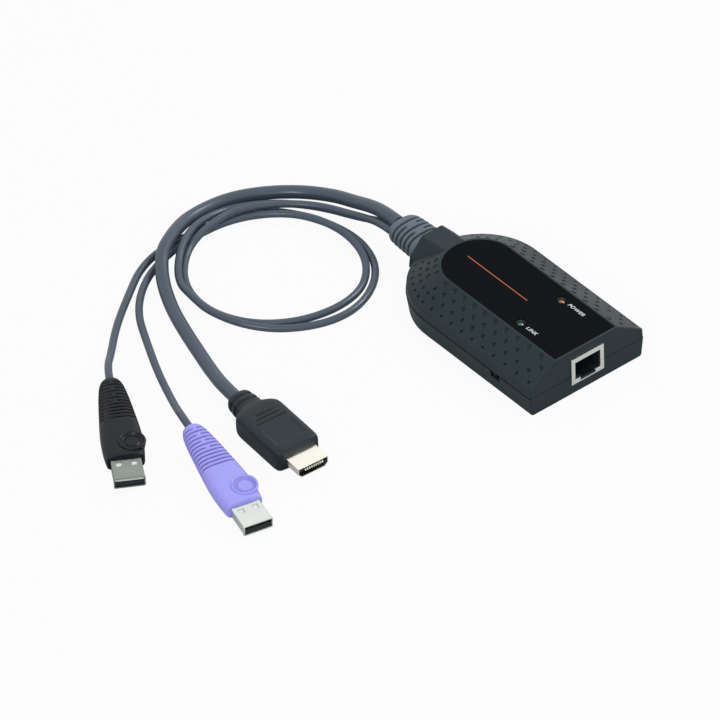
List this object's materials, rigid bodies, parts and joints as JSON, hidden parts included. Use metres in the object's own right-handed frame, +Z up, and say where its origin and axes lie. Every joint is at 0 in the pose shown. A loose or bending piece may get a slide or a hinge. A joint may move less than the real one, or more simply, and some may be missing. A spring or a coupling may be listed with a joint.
{
  "type": "keyboard video and mouse switch dongle",
  "caption": "Low dark housing with a network socket at one end and captive video and data cords with plugs at the other.",
  "frame": {"origin": "middle of the underside of the housing and its strain relief", "axes": "+X from the cord end towards the network socket, +Z up, +Y to the left when looking along +X"},
  "size_m": [0.1832, 0.2068, 0.0215],
  "materials": {
    "shell_plastic": "fine matte grain",
    "label_film": "gloss",
    "relief_rubber": "satin",
    "cord_jacket": "satin",
    "black_moulding": "matte",
    "violet_moulding": "satin",
    "plug_nickel": "bright",
    "pale_gold": "satin",
    "contact_gold": "bright",
    "jack_metal": "bright",
    "screw_steel": "bright",
    "can_metal": "satin",
    "board_laminate": "satin",
    "chip_resin": "matte",
    "header_nylon": "matte",
    "lamp_resin": "gloss",
    "amber_lens": "gloss",
    "green_lens": "gloss"
  },
  "bodies": {
    "housing": {"black_cord": "cord_jacket", "black_plug_contacts": "contact_gold", "black_plug_grip": "black_moulding", "black_plug_insulator": "black_moulding", "black_plug_shell": "plug_nickel", "capacitors": "can_metal", "circuit_board": "board_laminate", "inner_leads": "cord_jacket", "jack_body": "black_moulding", "jack_contacts": "contact_gold", "jack_shield": "jack_metal", "label_plate": "label_film", "lead_header": "header_nylon", "line_transformer": "chip_resin", "link_lamp": "lamp_resin", "link_light_pipe": "green_lens", "lower_shell": "shell_plastic", "main_processor": "chip_resin", "memory_chip": "chip_resin", "oscillator_can": "can_metal", "power_lamp": "lamp_resin", "power_light_pipe": "amber_lens", "shell_screws": "screw_steel", "strain_relief": "relief_rubber", "switch_body": "black_moulding", "upper_shell": "shell_plastic", "video_converter": "chip_resin", "video_cord": "cord_jacket", "video_plug_case": "black_moulding", "video_plug_contacts": "contact_gold", "video_plug_shell": "pale_gold", "video_plug_tongue": "black_moulding", "violet_cord": "cord_jacket", "violet_plug_contacts": "contact_gold", "violet_plug_grip": "violet_moulding", "violet_plug_insulator": "black_moulding", "violet_plug_shell": "plug_nickel"},
    "knob": {"switch_knob": "black_moulding"}
  },
  "joints": [
    {"name": "mode_switch", "type": "slide", "parent": "housing", "child": "knob", "axis": [1, 0, 0], "range_m": [0, 0.002]}
  ]
}
